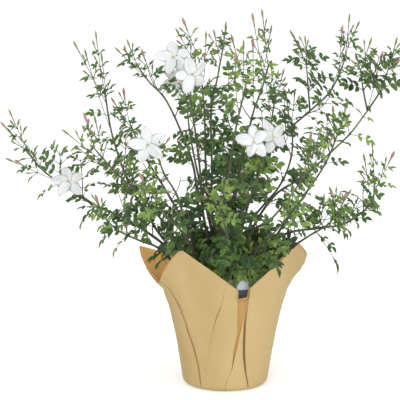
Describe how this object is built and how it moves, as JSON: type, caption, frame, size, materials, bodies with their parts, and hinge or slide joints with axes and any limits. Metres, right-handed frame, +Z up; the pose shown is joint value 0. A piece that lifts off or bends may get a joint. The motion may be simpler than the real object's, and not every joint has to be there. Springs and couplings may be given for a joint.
{
  "type": "potted jasmine",
  "caption": "Flowering jasmine with arching leafy stems in a plastic nursery pot, wrapped in a folded kraft paper cover.",
  "frame": {"origin": "centre of the paper cover's flat bottom, on the surface it stands on", "axes": "+Z up, +X to the right of the front view, +Y away from the front"},
  "size_m": [0.4765, 0.3542, 0.454],
  "materials": {
    "kraft_paper": "matte",
    "pot_plastic": "satin",
    "soil": "matte",
    "foliage": "satin",
    "petal": "matte"
  },
  "bodies": {
    "root": {"paper_cover": "kraft_paper", "nursery_pot": "pot_plastic", "potting_soil": "soil", "stem_far_left": "foliage", "stem_left_mid": "foliage", "stem_left_tall": "foliage", "stem_left_front": "foliage", "stem_top_left": "foliage", "stem_bloom_top": "foliage", "stem_centre": "foliage", "stem_centre_back": "foliage", "stem_top": "foliage", "stem_centre_front": "foliage", "stem_right_tall": "foliage", "stem_right_arch": "foliage", "stem_right_low": "foliage", "stem_left_low": "foliage", "stem_right_back": "foliage", "stem_right_mid": "foliage", "stem_right_front": "foliage", "stem_bloom_mid": "foliage", "stem_back_left": "foliage", "stem_back_mid": "foliage", "stem_back_right": "foliage", "stem_back_far_right": "foliage", "stem_front_left": "foliage", "stem_front_mid": "foliage", "stem_front_right": "foliage", "stem_back_low": "foliage", "bloom_1": "petal", "bloom_2": "petal", "bloom_3": "petal", "bloom_4": "petal", "bloom_5": "petal", "bloom_6": "petal", "bloom_7": "petal", "bloom_8": "petal"}
  },
  "joints": []
}
